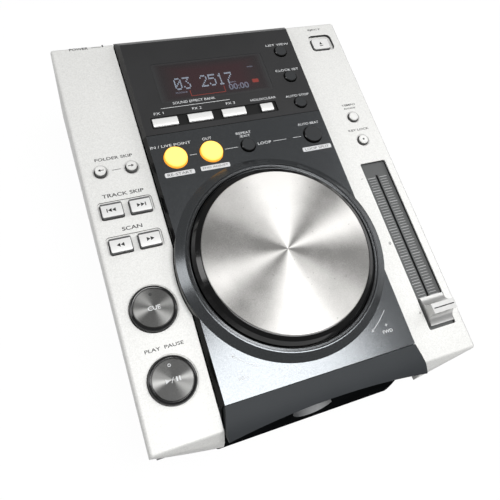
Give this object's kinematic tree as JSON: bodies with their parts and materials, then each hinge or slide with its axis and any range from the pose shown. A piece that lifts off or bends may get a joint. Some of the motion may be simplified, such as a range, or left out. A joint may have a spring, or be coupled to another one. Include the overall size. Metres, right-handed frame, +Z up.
{
  "type": "tabletop dj cd player",
  "caption": "Sloping tabletop disc player with a large jog wheel, tempo fader, push buttons, display and a front disc slot.",
  "frame": {"origin": "on the table, in the middle of the player's width and depth", "axes": "+X to the user's right, +Y to the rear, +Z up"},
  "size_m": [0.218, 0.2836, 0.107],
  "materials": {
    "silver_cover": "satin silver paint",
    "black_chassis": "fine textured black powder coat",
    "panel_black": "dark satin moulded plastic",
    "jog_panel_grey": "metallic gunmetal paint with a clear coat",
    "visor_grey": "dark grey satin plastic",
    "fascia_black": "black gloss moulding",
    "window_tint": "dark tinted acrylic",
    "display_parts": "display can",
    "fader_grey": "dark grey printed plate",
    "knob_silver": "silver-white plastic",
    "zinc_steel": "zinc plated pressed steel",
    "button_white": "silver-white plastic keys",
    "button_dark": "dark smoked plastic keys",
    "button_lit": "yellow light-through plastic",
    "button_chrome": "small bright plated keys",
    "carrier_black": "black gloss carriers",
    "spun_metal": "spun and anodised dark metal",
    "jog_metal": "spun steel with radial highlights",
    "jog_black": "black gloss moulding",
    "jog_ring": "dark ring with turned grooves",
    "inner_black": "black moulded plastic",
    "brass_bush": "turned brass",
    "steel_shaft": "ground steel",
    "board_green": "printed circuit board",
    "rubber_black": "moulded black rubber",
    "gear_white": "natural acetal",
    "screw_black": "black zinc screws"
  },
  "bodies": {
    "housing": {"top_cover": "silver_cover", "bottom_chassis": "black_chassis", "display_panel": "panel_black", "jog_plate": "jog_panel_grey", "front_visor": "visor_grey", "slot_fascia": "fascia_black", "display_window": "window_tint", "display_module": "display_parts", "fader_plate": "fader_grey", "fader_body": "zinc_steel", "jog_surround": "jog_ring", "jog_base": "inner_black", "jog_bush": "brass_bush", "control_boards": "board_green", "main_board": "board_green", "power_supply": "board_green", "drive_frame": "zinc_steel", "drive_motors": "zinc_steel", "guide_rods": "steel_shaft", "ac_inlet": "inner_black", "audio_jacks": "inner_black", "feet": "rubber_black", "screws": "screw_black"},
    "fx_button_1": {"fx_button_1": "button_white"},
    "fx_button_2": {"fx_button_2": "button_white"},
    "fx_button_3": {"fx_button_3": "button_white"},
    "hold_button": {"hold_button": "button_white"},
    "text_button": {"text_button": "button_dark"},
    "time_button": {"time_button": "button_dark"},
    "auto_button": {"auto_button": "button_dark"},
    "loop_in_button": {"loop_in_button": "button_lit"},
    "loop_out_button": {"loop_out_button": "button_lit"},
    "loop_exit_button": {"loop_exit_button": "button_dark"},
    "beat_loop_button": {"beat_loop_button": "button_dark"},
    "folder_back_button": {"folder_back_button": "button_chrome"},
    "folder_forward_button": {"folder_forward_button": "button_chrome"},
    "track_back_button": {"track_back_button": "button_white"},
    "track_forward_button": {"track_forward_button": "button_white"},
    "search_back_button": {"search_back_button": "button_white"},
    "search_forward_button": {"search_forward_button": "button_white"},
    "cue_button": {"cue_button": "carrier_black", "cue_cap": "spun_metal"},
    "play_button": {"play_button": "carrier_black", "play_cap": "spun_metal"},
    "eject_button": {"eject_button": "button_white"},
    "tempo_range_button": {"tempo_range_button": "button_chrome"},
    "key_lock_button": {"key_lock_button": "button_chrome"},
    "power_button": {"power_button": "inner_black"},
    "jog_wheel": {"jog_rim": "jog_black", "jog_disc": "jog_metal", "jog_shaft": "steel_shaft", "encoder_wheel": "inner_black"},
    "fader_knob": {"fader_knob": "knob_silver"},
    "feed_roller": {"feed_roller": "rubber_black", "roller_shaft": "steel_shaft"},
    "motor_pinion": {"motor_pinion": "gear_white"},
    "turntable": {"turntable": "inner_black"},
    "clamp_arm": {"clamp_arm": "zinc_steel"},
    "pickup_sled": {"pickup_sled": "inner_black"},
    "lead_screw": {"lead_screw": "steel_shaft"}
  },
  "joints": [
    {"name": "fx_button_1_press", "type": "slide", "parent": "housing", "child": "fx_button_1", "axis": [0, 0.1219, -0.9925], "range_m": [0, 0.0008], "stiffness_N_per_m": 400},
    {"name": "fx_button_2_press", "type": "slide", "parent": "housing", "child": "fx_button_2", "axis": [0, 0.1219, -0.9925], "range_m": [0, 0.0008], "stiffness_N_per_m": 400},
    {"name": "fx_button_3_press", "type": "slide", "parent": "housing", "child": "fx_button_3", "axis": [0, 0.1219, -0.9925], "range_m": [0, 0.0008], "stiffness_N_per_m": 400},
    {"name": "hold_button_press", "type": "slide", "parent": "housing", "child": "hold_button", "axis": [0, 0.1219, -0.9925], "range_m": [0, 0.0008], "stiffness_N_per_m": 400},
    {"name": "text_button_press", "type": "slide", "parent": "housing", "child": "text_button", "axis": [0, 0.1219, -0.9925], "range_m": [0, 0.0008], "stiffness_N_per_m": 400},
    {"name": "time_button_press", "type": "slide", "parent": "housing", "child": "time_button", "axis": [0, 0.1219, -0.9925], "range_m": [0, 0.0008], "stiffness_N_per_m": 400},
    {"name": "auto_button_press", "type": "slide", "parent": "housing", "child": "auto_button", "axis": [0, 0.1219, -0.9925], "range_m": [0, 0.0008], "stiffness_N_per_m": 400},
    {"name": "loop_in_button_press", "type": "slide", "parent": "housing", "child": "loop_in_button", "axis": [0, 0.1219, -0.9925], "range_m": [0, 0.0008], "stiffness_N_per_m": 400},
    {"name": "loop_out_button_press", "type": "slide", "parent": "housing", "child": "loop_out_button", "axis": [0, 0.1219, -0.9925], "range_m": [0, 0.0008], "stiffness_N_per_m": 400},
    {"name": "loop_exit_button_press", "type": "slide", "parent": "housing", "child": "loop_exit_button", "axis": [0, 0.1219, -0.9925], "range_m": [0, 0.0008], "stiffness_N_per_m": 400},
    {"name": "beat_loop_button_press", "type": "slide", "parent": "housing", "child": "beat_loop_button", "axis": [0, 0.1219, -0.9925], "range_m": [0, 0.0008], "stiffness_N_per_m": 400},
    {"name": "folder_back_button_press", "type": "slide", "parent": "housing", "child": "folder_back_button", "axis": [0, 0.1219, -0.9925], "range_m": [0, 0.0008], "stiffness_N_per_m": 400},
    {"name": "folder_forward_button_press", "type": "slide", "parent": "housing", "child": "folder_forward_button", "axis": [0, 0.1219, -0.9925], "range_m": [0, 0.0008], "stiffness_N_per_m": 400},
    {"name": "track_back_button_press", "type": "slide", "parent": "housing", "child": "track_back_button", "axis": [0, 0.1219, -0.9925], "range_m": [0, 0.0008], "stiffness_N_per_m": 400},
    {"name": "track_forward_button_press", "type": "slide", "parent": "housing", "child": "track_forward_button", "axis": [0, 0.1219, -0.9925], "range_m": [0, 0.0008], "stiffness_N_per_m": 400},
    {"name": "search_back_button_press", "type": "slide", "parent": "housing", "child": "search_back_button", "axis": [0, 0.1219, -0.9925], "range_m": [0, 0.0008], "stiffness_N_per_m": 400},
    {"name": "search_forward_button_press", "type": "slide", "parent": "housing", "child": "search_forward_button", "axis": [0, 0.1219, -0.9925], "range_m": [0, 0.0008], "stiffness_N_per_m": 400},
    {"name": "cue_button_press", "type": "slide", "parent": "housing", "child": "cue_button", "axis": [0, 0.1219, -0.9925], "range_m": [0, 0.0008], "stiffness_N_per_m": 400},
    {"name": "play_button_press", "type": "slide", "parent": "housing", "child": "play_button", "axis": [0, 0.1219, -0.9925], "range_m": [0, 0.0008], "stiffness_N_per_m": 400},
    {"name": "eject_button_press", "type": "slide", "parent": "housing", "child": "eject_button", "axis": [0, 0.1219, -0.9925], "range_m": [0, 0.0008], "stiffness_N_per_m": 400},
    {"name": "tempo_range_button_press", "type": "slide", "parent": "housing", "child": "tempo_range_button", "axis": [0, 0.1219, -0.9925], "range_m": [0, 0.0008], "stiffness_N_per_m": 400},
    {"name": "key_lock_button_press", "type": "slide", "parent": "housing", "child": "key_lock_button", "axis": [0, 0.1219, -0.9925], "range_m": [0, 0.0008], "stiffness_N_per_m": 400},
    {"name": "power_button_press", "type": "slide", "parent": "housing", "child": "power_button", "axis": [0, -1, 0], "range_m": [0, 0.003], "stiffness_N_per_m": 500},
    {"name": "jog_wheel_turn", "type": "hinge", "parent": "housing", "child": "jog_wheel", "pos_m": [0, -0.04554, 0.07953], "axis": [0, -0.1219, 0.9925], "continuous": true},
    {"name": "fader_slide", "type": "slide", "parent": "housing", "child": "fader_knob", "axis": [0, 0.9925, 0.1219], "range_m": [0, 0.102]},
    {"name": "feed_roller_turn", "type": "hinge", "parent": "housing", "child": "feed_roller", "pos_m": [0, -0.11756, 0.0303], "axis": [1, 0, 0], "continuous": true},
    {"name": "motor_pinion_turn", "type": "hinge", "parent": "housing", "child": "motor_pinion", "pos_m": [0.06, -0.10514, 0.0244], "axis": [1, 0, 0], "continuous": true},
    {"name": "turntable_spin", "type": "hinge", "parent": "housing", "child": "turntable", "pos_m": [0, -0.05616, 0.0346], "axis": [0, 0, 1], "continuous": true},
    {"name": "clamp_arm_pivot", "type": "hinge", "parent": "housing", "child": "clamp_arm", "pos_m": [0, 0.01184, 0.052], "axis": [1, 0, 0], "range_deg": [0, 2.5]},
    {"name": "pickup_sled_travel", "type": "slide", "parent": "housing", "child": "pickup_sled", "axis": [0, 1, 0], "range_m": [0, 0.035]},
    {"name": "lead_screw_turn", "type": "hinge", "parent": "housing", "child": "lead_screw", "pos_m": [-0.026, -0.00616, 0.03], "axis": [0, 1, 0], "range_deg": [-4201, 0]}
  ],
  "couplings": [
    {"joint": "motor_pinion_turn", "follows": "feed_roller_turn", "ratio": -2.4},
    {"joint": "lead_screw_turn", "follows": "pickup_sled_travel", "rad_per_m": -2094.4}
  ]
}
